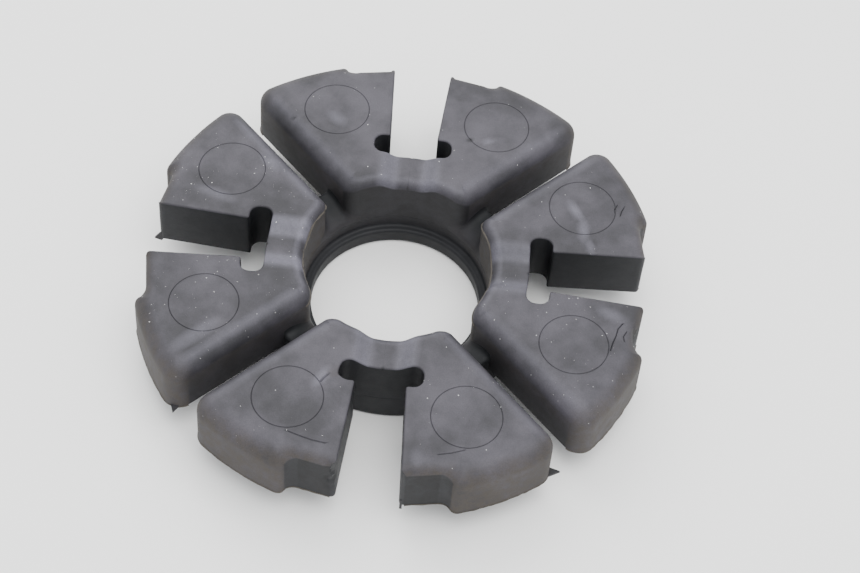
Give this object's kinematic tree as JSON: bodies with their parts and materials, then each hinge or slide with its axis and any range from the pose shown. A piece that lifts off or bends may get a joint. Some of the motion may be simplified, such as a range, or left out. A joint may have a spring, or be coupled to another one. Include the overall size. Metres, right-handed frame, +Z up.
{
  "type": "cush drive damper",
  "caption": "Moulded rubber damper ring for a jaw coupling: sector lobes in slotted pairs round a central bored ring.",
  "frame": {"origin": "on the axis of the bore, in the flat face that the ring stands on", "axes": "+Z up along the bore axis, away from the hub seat; the four slots lie along +X, +Y, -X and -Y, and the gaps between pairs on the diagonals"},
  "size_m": [0.1352, 0.1352, 0.0251],
  "materials": {
    "lobe_rubber": "satin black moulded rubber with a grey bloom",
    "ring_rubber": "matt black moulded rubber with brown dust"
  },
  "bodies": {
    "ring": {"locating_band": "ring_rubber", "bridge_right": "ring_rubber", "bridge_back": "ring_rubber", "bridge_left": "ring_rubber", "bridge_front": "ring_rubber", "gap_web_right_back": "ring_rubber", "gap_web_back_left": "ring_rubber", "gap_web_left_front": "ring_rubber", "gap_web_front_right": "ring_rubber"},
    "lobe_right_back": {"lobe_right_back": "lobe_rubber"},
    "lobe_right_front": {"lobe_right_front": "lobe_rubber"},
    "lobe_back_left": {"lobe_back_left": "lobe_rubber"},
    "lobe_back_right": {"lobe_back_right": "lobe_rubber"},
    "lobe_left_front": {"lobe_left_front": "lobe_rubber"},
    "lobe_left_back": {"lobe_left_back": "lobe_rubber"},
    "lobe_front_right": {"lobe_front_right": "lobe_rubber"},
    "lobe_front_left": {"lobe_front_left": "lobe_rubber"}
  },
  "joints": [
    {"name": "neck_right_back", "type": "hinge", "parent": "ring", "child": "lobe_right_back", "pos_m": [0.03238, 0.01629, 0.01695], "axis": [0, 0, 1], "range_deg": [-4, 4], "stiffness_Nm_per_rad": 2},
    {"name": "neck_right_front", "type": "hinge", "parent": "ring", "child": "lobe_right_front", "pos_m": [0.03238, -0.01629, 0.01695], "axis": [0, 0, 1], "range_deg": [-4, 4], "stiffness_Nm_per_rad": 2},
    {"name": "neck_back_left", "type": "hinge", "parent": "ring", "child": "lobe_back_left", "pos_m": [-0.01629, 0.03238, 0.01695], "axis": [0, 0, 1], "range_deg": [-4, 4], "stiffness_Nm_per_rad": 2},
    {"name": "neck_back_right", "type": "hinge", "parent": "ring", "child": "lobe_back_right", "pos_m": [0.01629, 0.03238, 0.01695], "axis": [0, 0, 1], "range_deg": [-4, 4], "stiffness_Nm_per_rad": 2},
    {"name": "neck_left_front", "type": "hinge", "parent": "ring", "child": "lobe_left_front", "pos_m": [-0.03238, -0.01629, 0.01695], "axis": [0, 0, 1], "range_deg": [-4, 4], "stiffness_Nm_per_rad": 2},
    {"name": "neck_left_back", "type": "hinge", "parent": "ring", "child": "lobe_left_back", "pos_m": [-0.03238, 0.01629, 0.01695], "axis": [0, 0, 1], "range_deg": [-4, 4], "stiffness_Nm_per_rad": 2},
    {"name": "neck_front_right", "type": "hinge", "parent": "ring", "child": "lobe_front_right", "pos_m": [0.01629, -0.03238, 0.01695], "axis": [0, 0, 1], "range_deg": [-4, 4], "stiffness_Nm_per_rad": 2},
    {"name": "neck_front_left", "type": "hinge", "parent": "ring", "child": "lobe_front_left", "pos_m": [-0.01629, -0.03238, 0.01695], "axis": [0, 0, 1], "range_deg": [-4, 4], "stiffness_Nm_per_rad": 2}
  ]
}
